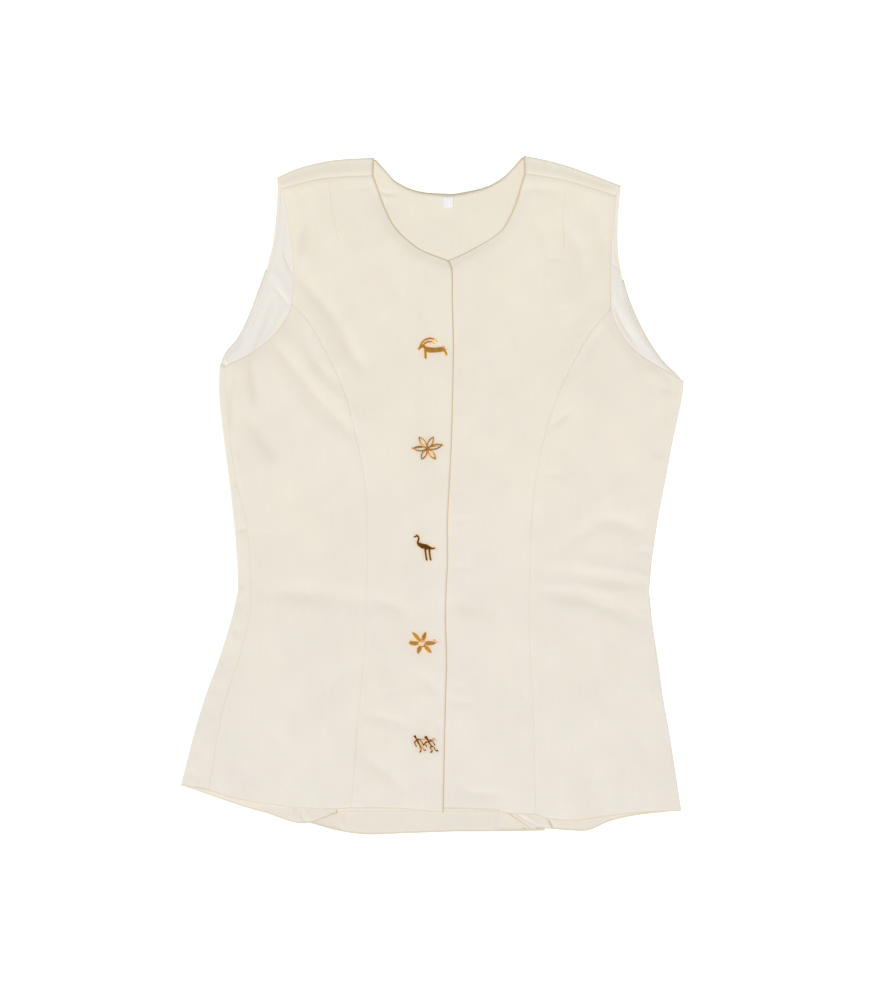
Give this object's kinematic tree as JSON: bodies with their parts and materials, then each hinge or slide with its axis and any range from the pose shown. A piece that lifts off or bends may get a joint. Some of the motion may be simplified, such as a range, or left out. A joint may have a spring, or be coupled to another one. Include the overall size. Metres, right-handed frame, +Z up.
{
  "type": "waistcoat",
  "caption": "Fitted sleeveless cream waistcoat laid flat with its front up: round neck, princess seams, flared hem, gold brooches pinned down the overlapping front.",
  "frame": {"origin": "the middle of the garment's outline, on the flat surface that its back lies on", "axes": "+Y from the hem to the neck, +X to the wearer's left, +Z up from the surface, out of the front"},
  "size_m": [0.5118, 0.6934, 0.0104],
  "materials": {
    "cream_cloth": "matt cream wool-like twill with a soft sheen",
    "cream_inside": "matt cream, the inside of the same cloth",
    "white_lining": "smooth white lining with a slight sheen",
    "label_tape": "plain white woven tape",
    "gold": "polished gold plate"
  },
  "bodies": {
    "root": {"front_right_centre": "cream_cloth", "front_right_side": "cream_cloth", "front_left_centre": "cream_cloth", "front_left_side": "cream_cloth", "back_centre_right": "cream_cloth", "back_centre_left": "cream_cloth", "back_side_right": "cream_cloth", "back_side_left": "cream_cloth", "back_neck_facing": "cream_inside", "back_hem_right_side": "cream_inside", "back_hem_centre": "cream_inside", "back_hem_left_side": "cream_inside", "back_lining_right": "white_lining", "back_lining_left": "white_lining", "size_label": "label_tape", "brooch_1_goat": "gold", "brooch_1_goat_pin": "gold", "brooch_2_open_flower": "gold", "brooch_2_open_flower_pin": "gold", "brooch_3_bird": "gold", "brooch_3_bird_pin": "gold", "brooch_4_solid_flower": "gold", "brooch_4_solid_flower_pin": "gold", "brooch_5_figures": "gold", "brooch_5_figures_pin": "gold"}
  },
  "joints": []
}
